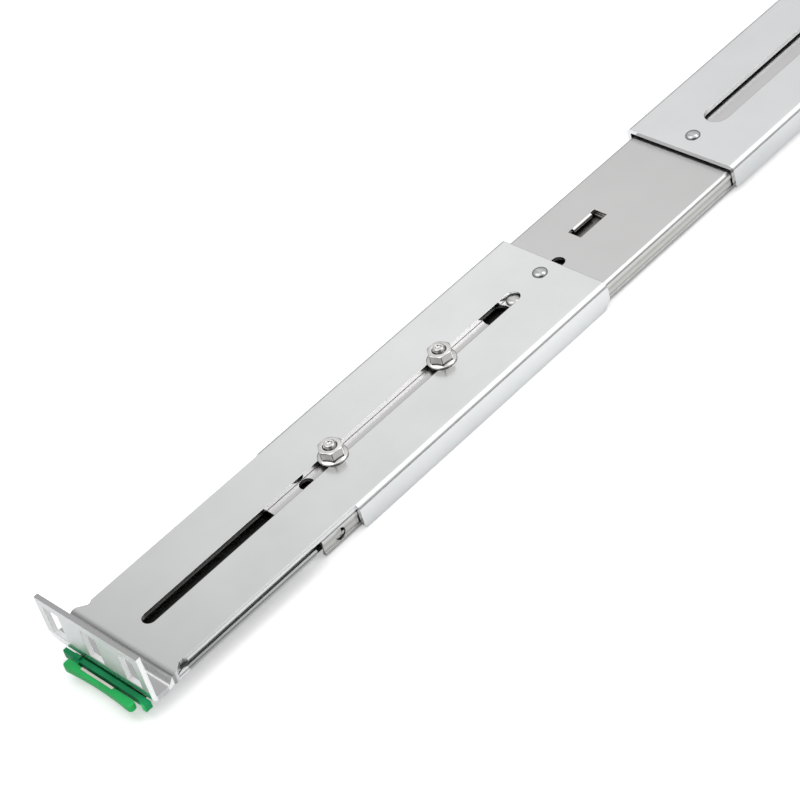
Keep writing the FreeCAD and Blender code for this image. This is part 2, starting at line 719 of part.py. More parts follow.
def flange_nuts(name, place, pitch, base):
    """Hexagon nuts with a sloping round flange, corners turned off at the top, plain bore."""
    body = new_body(name)
    hexagon = []
    for across, along in ((2, 0), (1, 1), (-1, 1), (-2, 0), (-1, -1), (1, -1)):
        hexagon.append(("%s + nut_corner * %d / 2" % (place, across), "nut_flats * %d / 2" % along))
    sketch = outline(body, name + "_hexagon", "XY_Plane", hexagon, base)
    pad(body, sketch, name + "_hex", "nut_high")
    turned(body, name + "_turned_corners", (place, "0"), [
        ("nut_flats / 2", "%s + nut_high" % base), ("nut_corner + 1", "%s + nut_high" % base),
        ("nut_corner + 1", "%s + nut_high - nut_turn * 2" % base),
        ("nut_corner", "%s + nut_high - nut_turn" % base),
    ], groove=True)
    turned(body, name + "_flange", (place, "0"), [
        ("stud_radius", base), ("nut_flange_radius", base),
        ("nut_flange_radius", "%s + nut_flange_high" % base),
        ("nut_flats / 2", "%s + nut_flange_high + nut_turn" % base),
        ("stud_radius", "%s + nut_flange_high + nut_turn" % base),
    ])
    bore = circle(body, name + "_bore_ring", "XY_Plane", (place, "0"), "stud_radius", base)
    cut(body, bore, name + "_bore", "nut_high")
    whole_row(body, name + "_row", pitch, 2)
    return body


def shouldered_collars():
    """Collars on the rear studs: a flange under the rear bracket and a shoulder that guides its slot."""
    body = new_body("rear_shouldered_collars")
    turned(body, "collar", ("rear_stud_place", "0"), [
        ("stud_radius", "-outer_top"), ("collar_radius", "-outer_top"),
        ("collar_radius", "-rear_under"), ("rear_slot_width / 2 - side_gap", "-rear_under"),
        ("rear_slot_width / 2 - side_gap", "rear_rise - running_gap"),
        ("stud_radius", "rear_rise - running_gap"),
    ])
    whole_row(body, "collar_row", "rear_stud_pitch", 2)
    return body


def clamp_washers():
    """Wide plain washers that bridge the rear slot under the nuts."""
    body = new_body("rear_clamp_washers")
    turned(body, "washer", ("rear_stud_place", "0"), [
        ("stud_radius", "rear_rise"), ("collar_radius", "rear_rise"),
        ("collar_radius", "rear_nut_seat"), ("stud_radius", "rear_nut_seat"),
    ])
    whole_row(body, "washer_row", "rear_stud_pitch", 2)
    return body


def pocket_count():
    """How many balls stand in one row of a retainer."""
    free = value("retainer_length - retainer_margin * 2")
    return 1 + int(free // value("ball_pitch"))


def balls(name, side, level, radius, start):
    """Steel balls in two rows, one in each race, spread along their retainer."""
    body = new_body(name)
    ball = body.newObject("PartDesign::AdditiveSphere", name + "_first")
    ball.setExpression("Radius", named(radius))
    ball.setExpression("Placement.Base.x", named("%s + retainer_margin" % start))
    ball.setExpression("Placement.Base.y", named(side))
    ball.setExpression("Placement.Base.z", named("-%s" % level))
    whole_row(body, name + "_row", "ball_pitch", pocket_count())
    doc.recompute()
    other = body.newObject("PartDesign::Mirrored", name + "_other_side")
    other.TransformMode = "Whole shape"
    other.MirrorPlane = (own_plane(body, "XZ_Plane"), [""])
    body.Tip = other
    return body


def ball_pockets(body, name, level, radius, start, reach):
    """A row of round windows in a retainer wall, one for each ball."""
    hole = circle(body, name + "_ring", "XZ_Plane",
                  ("%s + retainer_margin" % start, "-%s" % level), radius, reach)
    first = cut(body, hole, name, "retainer_sheet * 3")
    repeat(body, first, name + "_row", "X_Axis", "ball_pitch", pocket_count())
    doc.recompute()


def outer_ball_retainer():
    """Folded strip that keeps the outer balls apart, one wall in each race."""
    body = new_body("outer_ball_retainer")
    channel(body, "outer_retainer_start", "retainer_length", "outer_ball_side + retainer_sheet / 2",
            "-outer_under - clear_gap", "retainer_sheet", "outer_ball_level + ball_radius",
            "retainer_sheet")
    for side, sign in (("right", ""), ("left", "-")):
        reach = "%souter_ball_side - retainer_sheet * 3 / 2" % sign
        ball_pockets(body, side + "_pocket", "outer_ball_level", "race_radius",
                     "outer_retainer_start", reach)
    return body


def inner_ball_retainer(side):
    """Flat strip that keeps one row of the inner balls apart."""
    name = "inner_ball_retainer_" + side
    body = new_body(name)
    sign = "-" if side == "left" else ""
    strip = rectangle(body, name + "_outline", "XZ_Plane",
                      ("inner_retainer_start", "-inner_ball_level - small_ball_radius - clear_gap"),
                      ("inner_retainer_start + retainer_length", "-inner_ball_level + small_ball_radius + clear_gap"),
                      "%sinner_ball_side - retainer_sheet / 2" % sign)
    pad(body, strip, name + "_strip", "retainer_sheet")
    ball_pockets(body, name + "_pocket", "inner_ball_level", "small_race_radius", "inner_retainer_start",
                 "%sinner_ball_side - retainer_sheet * 3 / 2" % sign)
    return body


def middle_member():
    """The telescoping member between: a race outside each wall and another inside it."""
    body = new_body("middle_member")
    length = "members_end - middle_start"
    channel(body, "middle_start", length, "middle_half", "-middle_top", "middle_sheet",
            "floor_level - middle_floor_gap", "middle_sheet")
    for side, sign in (("left", ""), ("right", "-")):
        race(body, side + "_middle_race", sign + "outer_ball_side", "outer_ball_level",
             "race_radius", "middle_start", length)
        race(body, side + "_middle_inner_race", sign + "inner_ball_side", "inner_ball_level",
             "small_race_radius", "middle_start", length)
    return body


def inner_member():
    """The chassis member, open side up, which is screwed to the side of the server."""
    body = new_body("inner_member")
    high = "-floor_level + inner_wall_high"
    inside = "inner_half - inner_sheet"
    section = outline(body, "inner_section", "YZ_Plane", [
        ("-inner_half", high), ("-inner_half", "-floor_level"), ("inner_half", "-floor_level"),
        ("inner_half", high), (inside, high), (inside, "-inner_web_top"),
        ("-inner_half + inner_sheet", "-inner_web_top"), ("-inner_half + inner_sheet", high),
    ], "inner_start")
    pad(body, section, "inner_strip", "members_end - inner_start")
    edges = straight_edges(body, "x", "inner_half", "-floor_level")
    rounded(body, "inner_bends", edges, "inner_sheet / 2")
    for side, sign in (("left", ""), ("right", "-")):
        race(body, side + "_inner_race", sign + "inner_ball_side", "inner_ball_level",
             "small_race_radius", "inner_start", "members_end - inner_start")
    hole = circle(body, "server_hole_outline", "XY_Plane", ("server_hole_place", "0"),
                  "server_hole_radius", "-floor_level")
    first = cut(body, hole, "server_hole", "inner_sheet")
    repeat(body, first, "server_holes", "X_Axis", "server_hole_pitch", 3)
    pin = circle(body, "rivet_hole_outline", "XY_Plane", ("first_rivet_place", "latch_middle"),
                 "rivet_radius", "-floor_level")
    first = cut(body, pin, "rivet_hole", "inner_sheet")
    repeat(body, first, "rivet_holes", "X_Axis", "rivet_pitch", 2)
    pivot = circle(body, "pivot_hole_outline", "XY_Plane", ("lever_place", "0"), "rivet_radius",
                   "-floor_level")
    cut(body, pivot, "pivot_hole", "inner_sheet")
    for name, place, half in (("latch_spring_anchor", "anchor_place", "spring_wide / 2"),
                              ("leaf_spring_anchor", "rear_place", "leaf_side + leaf_sheet")):
        middle = "latch_middle" if name == "latch_spring_anchor" else "0"
        tab = rectangle(body, name + "_outline", "XY_Plane", (place, "%s - %s" % (middle, half)),
                        ("%s + anchor_thick" % place, "%s + %s" % (middle, half)), "-inner_web_top")
        pad(body, tab, name, "anchor_high")
        doc.recompute()
    return body


def release_handle():
    """Green moulding in front of the flange: a back plate and a finger bar joined at the left."""
    body = new_body("release_handle")
    plate_high = "handle_bottom - handle_top"
    bar_high = "handle_bottom - handle_top - bar_drop"
    plate = rectangle(body, "plate_outline", "XY_Plane", ("plate_front", "-handle_right"),
                      ("-clear_gap", "handle_left"), "-handle_bottom")
    pad(body, plate, "back_plate", plate_high)
    bar = rectangle(body, "bar_outline", "XY_Plane", ("bar_front", "-bar_right"),
                    ("bar_back", "bar_left"), "-handle_bottom")
    pad(body, bar, "finger_bar", bar_high)
    dish = circle(body, "finger_dish_ring", "XY_Plane",
                  ("bar_front + finger_dish - finger_dish_radius", "bar_middle"), "finger_dish_radius",
                  "-handle_bottom")
    cut(body, dish, "finger_dish_cut", bar_high)
    waist = rectangle(body, "waist_outline", "XY_Plane", ("bar_back", "waist_right"),
                      ("plate_front", "waist_left"), "-handle_bottom")
    pad(body, waist, "waist", bar_high)
    foot = outline(body, "foot_outline", "XY_Plane", [
        ("-clear_gap", "-handle_right"), ("-clear_gap", "-handle_right + foot_wide * 2"),
        ("plate_front", "-handle_right + foot_wide * 2"),
        ("-clear_gap - foot_thick", "-handle_right + foot_wide"),
        ("-clear_gap - foot_thick", "-handle_right"),
    ], "-handle_bottom")
    pad(body, foot, "foot", plate_high)
    tongue = rectangle(body, "tongue_outline", "XY_Plane", ("-clear_gap", "-tongue_half"),
                       ("tongue_end", "tongue_half"), "-handle_bottom")
    pad(body, tongue, "tongue", "handle_bottom - joggle_drop - bracket_sheet - clear_gap")
    block = rectangle(body, "block_outline", "XY_Plane", ("block_start", "-tongue_half"),
                      ("tongue_end", "tongue_half"), "-latch_top")
    pad(body, block, "block", "latch_top - handle_bottom")
    nub = rectangle(body, "nub_outline", "XY_Plane", ("plate_front + clear_gap", "nub_place - nub_wide / 2"),
                    ("-clear_gap", "nub_place + nub_wide / 2"), "-handle_top")
    pad(body, nub, "nub", "nub_high")
    pocket = rectangle(body, "lip_pocket_outline", "XY_Plane", ("bar_back - latch_sheet", "-latch_right"),
                       ("bar_back", "latch_left"), "-handle_bottom")
    cut(body, pocket, "lip_pocket", plate_high)
    for name, across, along in (("left_knob", "-bar_front", "bar_left"),
                                ("right_knob", "-bar_front", "-bar_right"),
                                ("right_knob_back", "-bar_back", "-bar_right")):
        rounded(body, name, straight_edges(body, "z", across, along), "bar_knob")
    edges = straight_edges(body, "z", "-plate_front", "handle_left")
    rounded(body, "plate_corner", edges, "plate_thick / 2")
    return body


def latch_bar():
    """Steel strip that the handle pulls: a lip up in the finger bar and two slots on guide rivets."""
    body = new_body("latch_bar")
    lip_front = "bar_back - latch_sheet"
    strip = rectangle(body, "bar_strip_outline", "XY_Plane", (lip_front, "-latch_right"),
                      ("latch_end", "latch_left"), "-latch_under")
    pad(body, strip, "bar_strip", "latch_sheet")
    lip = rectangle(body, "lip_outline", "XY_Plane", (lip_front, "-latch_right"),
                    ("bar_back", "latch_left"), "-latch_under")
    pad(body, lip, "lip", "latch_under - handle_top - running_gap")
    guide = rectangle(body, "guide_outline", "XY_Plane",
                      ("first_rivet_place - rivet_radius - clear_gap",
                       "latch_middle - rivet_radius - clear_gap"),
                      ("first_rivet_place + rivet_radius + clear_gap + latch_travel",
                       "latch_middle + rivet_radius + clear_gap"), "-latch_under")
    first = cut(body, guide, "guide_slot", "latch_sheet")
    repeat(body, first, "guide_slots", "X_Axis", "rivet_pitch", 2)
    return body


def rivet(body, name, place, head_level):
    """A shouldered rivet in the inner member: shank up from the web, flat head above."""
    turned(body, name, place, [
        ("0", "-floor_level"), ("rivet_radius", "-floor_level"), ("rivet_radius", head_level),
        ("rivet_head_radius", head_level),
        ("rivet_head_radius", "%s + rivet_head_high / 2" % head_level),
        ("rivet_radius", "%s + rivet_head_high" % head_level), ("0", "%s + rivet_head_high" % head_level),
    ])


def latch_guide_rivets():
    """Two rivets that guide the latch bar in its slots."""
    body = new_body("latch_guide_rivets")
    rivet(body, "guide_rivet", ("first_rivet_place", "latch_middle"), "-latch_top + running_gap")
    whole_row(body, "guide_rivet_row", "rivet_pitch", 2)
    return body


def latch_return_spring():
    """Flat zigzag spring that draws the latch bar back to the anchor tab."""
    body = new_body("latch_return_spring")
    bends = 8
    high = "latch_middle + spring_wide / 2"
    low = "latch_middle - spring_wide / 2"
    bar = rectangle(body, "cross_bar_outline", "XY_Plane", ("latch_end + spring_turn", low),
                    ("latch_end + spring_turn + spring_wire", high), "-latch_under")
    for name, place in (("front_stub", "latch_end"), ("rear_stub", "anchor_place - spring_turn")):
        stub = rectangle(body, name + "_outline", "XY_Plane", (place, "latch_middle"),
                         ("%s + spring_turn" % place, "latch_middle + spring_wire"), "-latch_under")
        if name == "rear_stub":
            rear = stub
            continue
        pad(body, stub, name, "spring_wire")
    first = pad(body, bar, "cross_bar", "spring_wire")
    repeat(body, first, "cross_bars", "X_Axis", "spring_turn", bends)
    doc.recompute()
    for name, place, edge, count in (
            ("left_link", "latch_end + spring_turn", (high + " - spring_wire", high), bends // 2),
            ("right_link", "latch_end + spring_turn * 2", (low, low + " + spring_wire"), bends // 2 - 1)):
        link = rectangle(body, name + "_outline", "XY_Plane", (place, edge[0]),
                         ("%s + spring_turn + spring_wire" % place, edge[1]), "-latch_under")
        first = pad(body, link, name, "spring_wire")
        repeat(body, first, name + "s", "X_Axis", "spring_turn * 2", count)
        doc.recompute()
    pad(body, rear, "rear_stub", "spring_wire")
    doc.recompute()
    return body


def disconnect_lever():
    """Moulded lever on the inner member that frees it from the middle member, thumb pad forward."""
    body = new_body("disconnect_lever")
    hub = circle(body, "hub_ring", "XY_Plane", ("lever_place", "0"), "lever_hub", "-latch_under")
    pad(body, hub, "hub", "lever_thick")
    arm = rectangle(body, "arm_outline", "XY_Plane", ("lever_place - lever_length", "-lever_arm / 2"),
                    ("lever_place + lever_tail", "lever_arm / 2"), "-latch_under")
    pad(body, arm, "arm", "lever_thick")
    thumb = circle(body, "thumb_ring", "XY_Plane", ("lever_place - lever_length", "0"), "lever_arm",
                   "-latch_under")
    pad(body, thumb, "thumb_pad", "lever_thick")
    bore = circle(body, "lever_bore_ring", "XY_Plane", ("lever_place", "0"),
                  "rivet_radius + race_gap", "-latch_under")
    cut(body, bore, "lever_bore", "lever_thick")
    return body


def lever_pivot_rivet():
    """The rivet that the lever turns on."""
    body = new_body("lever_pivot_rivet")
    rivet(body, "pivot_rivet", ("lever_place", "0"), "-lever_top + running_gap")
    return body


def lever_leaf_spring():
    """Leaf that sends the lever back, its foot against a tab of the inner member."""
    body = new_body("lever_leaf_spring")
    leaf = rectangle(body, "leaf_outline", "XY_Plane", ("lever_place + leaf_start", "leaf_side"),
                     ("rear_place", "leaf_side + leaf_sheet"), "-latch_under")
    pad(body, leaf, "leaf", "leaf_high")
    foot = rectangle(body, "leaf_foot_outline", "XY_Plane", ("rear_place - leaf_sheet", "-leaf_side"),
                     ("rear_place", "leaf_side + leaf_sheet"), "-latch_under")
    pad(body, foot, "leaf_foot", "leaf_high")
    doc.recompute()
    return body


def rear_bumper():
    """Rubber block pressed between the walls of the outer member as its closed stop."""
    body = new_body("rear_bumper")
    block = rectangle(body, "bumper_outline", "YZ_Plane",
                      ("-outer_inside", "-outer_top - outer_depth"), ("outer_inside", "-outer_under"),
                      "members_end + bumper_gap")
    pad(body, block, "bumper_block", "bumper_length")
    edges = straight_edges(body, "x", "outer_inside", "-outer_under")
    rounded(body, "bumper_corners", edges, "outer_bend - outer_sheet + side_gap")
    return body


front_bracket()
rear_bracket()
outer_member()
studs("front_studs", "front_stud_place", "front_stud_pitch", "0")
studs("rear_studs", "rear_stud_place", "rear_stud_pitch", "rear_nut_seat")
flange_nuts("front_flange_nuts", "front_stud_place", "front_stud_pitch", "0")
flange_nuts("rear_flange_nuts", "rear_stud_place", "rear_stud_pitch", "rear_nut_seat")
shouldered_collars()
clamp_washers()
outer_ball_retainer()
balls("outer_balls", "outer_ball_side", "outer_ball_level", "ball_radius", "outer_retainer_start")
middle_member()
inner_ball_retainer("left")
inner_ball_retainer("right")
balls("inner_balls", "inner_ball_side", "inner_ball_level", "small_ball_radius", "inner_retainer_start")
inner_member()
release_handle()
latch_bar()
latch_guide_rivets()
latch_return_spring()
disconnect_lever()
lever_pivot_rivet()
lever_leaf_spring()
rear_bumper()
doc.recompute()

for item in doc.Objects:
    if "Invalid" in item.State or "Error" in item.State:
        raise RuntimeError(item.Label + " did not build")
for body in doc.findObjects("PartDesign::Body"):
    body.Placement = FreeCAD.Placement()
    shape = body.Shape
    if shape.isNull() or not shape.isValid():
        raise RuntimeError(body.Label + " has no sound shape")
    shape.exportStep("parts/" + body.Label + ".step")
    box = shape.BoundBox
    print(body.Label, len(shape.Solids), "solids", [round(side, 2) for side in
          (box.XMin, box.XMax, box.YMin, box.YMax, box.ZMin, box.ZMax)])
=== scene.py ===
import math

import bpy
import bmesh
from mathutils import Matrix, Vector


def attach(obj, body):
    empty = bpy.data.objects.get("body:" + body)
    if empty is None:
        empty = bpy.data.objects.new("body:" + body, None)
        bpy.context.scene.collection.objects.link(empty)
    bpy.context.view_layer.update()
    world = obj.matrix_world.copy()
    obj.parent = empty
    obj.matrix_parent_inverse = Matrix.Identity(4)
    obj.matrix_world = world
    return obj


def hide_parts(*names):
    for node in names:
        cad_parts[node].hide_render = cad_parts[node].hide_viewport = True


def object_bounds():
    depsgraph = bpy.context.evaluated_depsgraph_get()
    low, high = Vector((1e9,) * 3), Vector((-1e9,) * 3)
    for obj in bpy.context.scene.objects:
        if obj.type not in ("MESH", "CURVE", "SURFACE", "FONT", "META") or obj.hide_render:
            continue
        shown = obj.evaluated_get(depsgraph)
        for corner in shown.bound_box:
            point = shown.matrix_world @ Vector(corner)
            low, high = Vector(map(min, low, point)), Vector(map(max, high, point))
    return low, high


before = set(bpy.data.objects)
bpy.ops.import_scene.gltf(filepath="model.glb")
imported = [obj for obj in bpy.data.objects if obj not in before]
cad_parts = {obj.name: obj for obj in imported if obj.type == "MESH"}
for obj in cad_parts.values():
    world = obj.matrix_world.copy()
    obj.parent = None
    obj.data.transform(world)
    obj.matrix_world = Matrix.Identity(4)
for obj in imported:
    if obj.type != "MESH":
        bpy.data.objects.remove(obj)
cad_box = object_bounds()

# The camera looks down the rail from above its front end, over the right-hand side, slightly
# rolled, through a long lens that keeps the rail's edges nearly parallel.
camera_place = Vector((-0.2167, -0.4886, 0.5044))
camera_right = Vector((0.67567, -0.70132, -0.22718))
camera_up = Vector((0.59709, 0.33988, 0.72661))
camera_back = Vector((-0.43237, -0.62660, 0.64840))
camera_data = bpy.data.cameras.new("camera")
camera_data.lens = 120.70
camera_data.sensor_width = 36.0
camera_data.clip_start = 0.02
camera_data.clip_end = 20.0
camera = bpy.data.objects.new("camera", camera_data)
bpy.context.scene.collection.objects.link(camera)
turn = Matrix((camera_right, camera_up, camera_back)).transposed().to_4x4()
camera.matrix_world = Matrix.Translation(camera_place) @ turn
bpy.context.scene.camera = camera
bpy.context.scene.view_settings.view_transform = "Standard"


# The studio: a pale tent, brighter overhead, dim at the horizon and towards the front, so that the
# bends of the sheet metal carry one white line and one dark one, and the nuts pick up both.
tent = [(0.00, 0.03), (0.11, 0.05), (0.23, 0.48), (0.50, 0.82), (0.72, 0.94), (1.00, 1.15)]
lengthwise = [(0.00, 0.75), (0.35, 0.80), (0.60, 0.78), (0.67, 0.86), (0.73, 1.08), (0.81, 0.88)]
doorway_side = (-0.50, -0.64, 0.58)
doorway_level = 0.22
world = bpy.data.worlds.new("studio")
bpy.context.scene.world = world
world.use_nodes = True
sky = world.node_tree
sky.nodes.clear()
where = sky.nodes.new("ShaderNodeTexCoord")
split = sky.nodes.new("ShaderNodeSeparateXYZ")
sky.links.new(where.outputs["Generated"], split.inputs[0])


def sky_levels(value, stops):
    """A soft run of grey levels over one value, as (place, level) from 0 to 1."""
    run = sky.nodes.new("ShaderNodeValToRGB")
    run.color_ramp.interpolation = "EASE"
    for place, level in stops[2:]:
        run.color_ramp.elements.new(place)
    for stop, (place, level) in zip(run.color_ramp.elements, stops):
        stop.position = place
        stop.color = (level, level, level, 1.0)
    sky.links.new(value, run.inputs["Fac"])
    return run.outputs["Color"]


along = sky.nodes.new("ShaderNodeMapRange")
along.inputs["From Min"].default_value = -1.0
along.inputs["From Max"].default_value = 1.0
sky.links.new(split.outputs["X"], along.inputs["Value"])
tent_cloth = sky.nodes.new("ShaderNodeVectorMath")
tent_cloth.operation = "MULTIPLY"
sky.links.new(sky_levels(split.outputs["Z"], tent), tent_cloth.inputs[0])
sky.links.new(sky_levels(along.outputs["Result"], lengthwise), tent_cloth.inputs[1])

# the tent's open side, darker than its cloth
opening = sky.nodes.new("ShaderNodeVectorMath")
opening.operation = "DOT_PRODUCT"
opening.inputs[1].default_value = doorway_side
sky.links.new(where.outputs["Generated"], opening.inputs[0])
doorway = sky.nodes.new("ShaderNodeMapRange")
doorway.interpolation_type = "SMOOTHSTEP"
doorway.inputs["From Min"].default_value = 0.80
doorway.inputs["From Max"].default_value = 0.94
doorway.inputs["To Min"].default_value = 1.0
doorway.inputs["To Max"].default_value = doorway_level
sky.links.new(opening.outputs["Value"], doorway.inputs["Value"])
tent_light = sky.nodes.new("ShaderNodeBackground")
sky.links.new(doorway.outputs["Result"], tent_light.inputs["Strength"])
sky.links.new(tent_cloth.outputs["Vector"], tent_light.inputs["Color"])
sky_out = sky.nodes.new("ShaderNodeOutputWorld")
sky.links.new(tent_light.outputs[0], sky_out.inputs["Surface"])

# Three lamps: place, width and length in metres, power in watts. The strips shine straight across
# the rail and draw the white lines on its bends, and the fill shines on its front end.
lamps = {
    "overhead_strip": (Vector((1.02, 0.001, 1.50)), 0.50, 0.70, 1.7),
    "right_strip": (Vector((1.00, -0.72, 1.20)), 0.55, 0.70, 1.9),
    "left_fill": (Vector((-0.20, 0.55, 1.60)), 1.2, 1.2, 3.6),
}
for name, (place, wide, long, power) in lamps.items():
    light = bpy.data.lights.new(name, "AREA")
    light.shape = "RECTANGLE"
    light.size = wide
    light.size_y = long
    light.energy = power
    lamp = bpy.data.objects.new(name, light)
    bpy.context.scene.collection.objects.link(lamp)
    aim = Vector((place.x if "strip" in name else 0.0, 0.0, 0.0)) - place
    tilt = aim.to_track_quat("-Z", "X").to_matrix().to_4x4()
    lamp.matrix_world = Matrix.Translation(place) @ tilt


# The white paper of the table. The camera and the rail's polished metal each see it a little
# brighter than it lights the rail, so that the background is white and the shadow still stands.
reach = 4.0
table_level = cad_box[0].z
corners = [(-reach, -reach), (reach, -reach), (reach, reach), (-reach, reach)]
floor_mesh = bpy.data.meshes.new("table")
floor_mesh.from_pydata([(x, y, table_level) for x, y in corners], [], [(0, 1, 2, 3)])
floor = bpy.data.objects.new("table", floor_mesh)
bpy.context.scene.collection.objects.link(floor)
paper = bpy.data.materials.new("white_paper")
paper.use_nodes = True
tree = paper.node_tree
tree.nodes.clear()
lit = tree.nodes.new("ShaderNodeBsdfDiffuse")
lit.inputs["Color"].default_value = (1.05, 1.05, 1.06, 1.0)
paper_white = tree.nodes.new("ShaderNodeEmission")
paper_white.inputs["Color"].default_value = (0.42, 0.42, 0.42, 1.0)
seen = tree.nodes.new("ShaderNodeAddShader")
tree.links.new(lit.outputs[0], seen.inputs[0])
tree.links.new(paper_white.outputs[0], seen.inputs[1])
bounced = tree.nodes.new("ShaderNodeBsdfDiffuse")
bounced.inputs["Color"].default_value = (0.85, 0.86, 0.87, 1.0)
shine = tree.nodes.new("ShaderNodeBsdfDiffuse")
shine.inputs["Color"].default_value = (1.16, 1.18, 1.19, 1.0)
path = tree.nodes.new("ShaderNodeLightPath")
mirrored = tree.nodes.new("ShaderNodeMixShader")
tree.links.new(path.outputs["Is Glossy Ray"], mirrored.inputs[0])
tree.links.new(bounced.outputs[0], mirrored.inputs[1])
tree.links.new(shine.outputs[0], mirrored.inputs[2])
choose = tree.nodes.new("ShaderNodeMixShader")
tree.links.new(path.outputs["Is Camera Ray"], choose.inputs[0])
tree.links.new(mirrored.outputs[0], choose.inputs[1])
tree.links.new(seen.outputs[0], choose.inputs[2])
paper_out = tree.nodes.new("ShaderNodeOutputMaterial")
tree.links.new(choose.outputs[0], paper_out.inputs["Surface"])
floor_mesh.materials.append(paper)


# The front bracket is one sheet of 1.5 mm steel, bright zinc plated, cut, folded and left
# unpainted: faint rolling lines along the rail, slow clouding in the plating, slightly rounded
# cut edges. Its sleeve slides on the steel channel of the slide, and two nuts clamp it there.
def sheet_metal(name, colour, roughness, clouding, lines, edge=0.0002, edge_light=1.15,
                corner_reach=0.0012, corner_open=0.5, corner_dark=0.15, corner_curve=1.0,
                grain=0.03):
    """Plated or rolled metal. clouding and lines spread its tone and its roughness, edge is the
    rounding of its edges in metres, edge_light the painted light along them (a highlight above 1,
    shade below 1), and the corner values paint shade where parts lie close."""
    material = bpy.data.materials.new(name)
    material.use_nodes = True
    tree = material.node_tree
    shader = tree.nodes["Principled BSDF"]
    shader.inputs["Metallic"].default_value = 1.0
    place = tree.nodes.new("ShaderNodeTexCoord")

    # slow clouds in the plating
    clouds = tree.nodes.new("ShaderNodeTexNoise")
    clouds.inputs["Scale"].default_value = 38.0
    clouds.inputs["Detail"].default_value = 5.0
    clouds.inputs["Roughness"].default_value = 0.6
    tree.links.new(place.outputs["Object"], clouds.inputs["Vector"])
    tone = tree.nodes.new("ShaderNodeValToRGB")
    dark = [c * (1.0 - clouding) for c in colour]
    light = [min(1.0, c * (1.0 + clouding)) for c in colour]
    tone.color_ramp.elements[0].position = 0.32
    tone.color_ramp.elements[0].color = (*dark, 1.0)
    tone.color_ramp.elements[1].position = 0.68
    tone.color_ramp.elements[1].color = (*light, 1.0)
    tree.links.new(clouds.outputs["Fac"], tone.inputs["Fac"])

    # rolling lines, long along the rail and fine across it, which the roughness follows
    stretch = tree.nodes.new("ShaderNodeMapping")
    stretch.inputs["Scale"].default_value = (14.0, 1500.0, 1500.0)
    tree.links.new(place.outputs["Object"], stretch.inputs["Vector"])
    rolled = tree.nodes.new("ShaderNodeTexNoise")
    rolled.inputs["Scale"].default_value = 1.0
    rolled.inputs["Detail"].default_value = 4.0
    tree.links.new(stretch.outputs["Vector"], rolled.inputs["Vector"])
    edge_highlight = tree.nodes.new("ShaderNodeMapRange")
    edge_highlight.inputs["To Min"].default_value = roughness - lines
    edge_highlight.inputs["To Max"].default_value = roughness + lines
    tree.links.new(rolled.outputs["Fac"], edge_highlight.inputs["Value"])
    tree.links.new(edge_highlight.outputs["Result"], shader.inputs["Roughness"])

    # rounded cut edges, and a painted highlight along them (painted shade where edge_light is below
    # 1)
    rounding = tree.nodes.new("ShaderNodeBevel")
    rounding.samples = 6
    rounding.inputs["Radius"].default_value = edge
    geometry = tree.nodes.new("ShaderNodeNewGeometry")
    turned = tree.nodes.new("ShaderNodeVectorMath")
    turned.operation = "DOT_PRODUCT"
    tree.links.new(rounding.outputs["Normal"], turned.inputs[0])
    tree.links.new(geometry.outputs["Normal"], turned.inputs[1])
    edge_share = tree.nodes.new("ShaderNodeMapRange")
    edge_share.inputs["From Min"].default_value = 0.97
    edge_share.inputs["From Max"].default_value = 0.80
    tree.links.new(turned.outputs["Value"], edge_share.inputs["Value"])
    edge_lit = tree.nodes.new("ShaderNodeMix")
    edge_lit.data_type = "RGBA"
    edge_lit.inputs["B"].default_value = (*[min(1.0, c * edge_light) for c in colour], 1.0)
    tree.links.new(edge_share.outputs["Result"], edge_lit.inputs["Factor"])
    tree.links.new(tone.outputs["Color"], edge_lit.inputs["A"])

    # painted shade in the corners and under the laps, where the parts lie close
    corner = tree.nodes.new("ShaderNodeAmbientOcclusion")
    corner.samples = 6
    corner.inputs["Distance"].default_value = corner_reach
    painted_corner_shade = tree.nodes.new("ShaderNodeMapRange")
    painted_corner_shade.inputs["From Min"].default_value = 0.05
    painted_corner_shade.inputs["From Max"].default_value = corner_open
    painted_corner_shade.inputs["To Min"].default_value = corner_dark
    tree.links.new(corner.outputs["AO"], painted_corner_shade.inputs["Value"])
    depth = tree.nodes.new("ShaderNodeMath")
    depth.operation = "POWER"
    depth.inputs[1].default_value = corner_curve
    tree.links.new(painted_corner_shade.outputs["Result"], depth.inputs[0])
    darkened = tree.nodes.new("ShaderNodeVectorMath")
    darkened.operation = "SCALE"
    tree.links.new(edge_lit.outputs["Result"], darkened.inputs[0])
    tree.links.new(depth.outputs["Value"], darkened.inputs["Scale"])
    tree.links.new(darkened.outputs["Vector"], shader.inputs["Base Color"])

    # fine grain of the surface
    fine = tree.nodes.new("ShaderNodeTexNoise")
    fine.inputs["Scale"].default_value = 5200.0
    fine.inputs["Detail"].default_value = 3.0
    tree.links.new(place.outputs["Object"], fine.inputs["Vector"])
    relief = tree.nodes.new("ShaderNodeBump")
    relief.inputs["Strength"].default_value = grain
    relief.inputs["Distance"].default_value = 0.00002
    tree.links.new(fine.outputs["Fac"], relief.inputs["Height"])
    tree.links.new(rounding.outputs["Normal"], relief.inputs["Normal"])
    tree.links.new(relief.outputs["Normal"], shader.inputs["Normal"])
    return material


def dress(node, material):
    """The CAD node as it is, with its own material."""
    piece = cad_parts[node]
    piece.data.materials.clear()
    piece.data.materials.append(material)


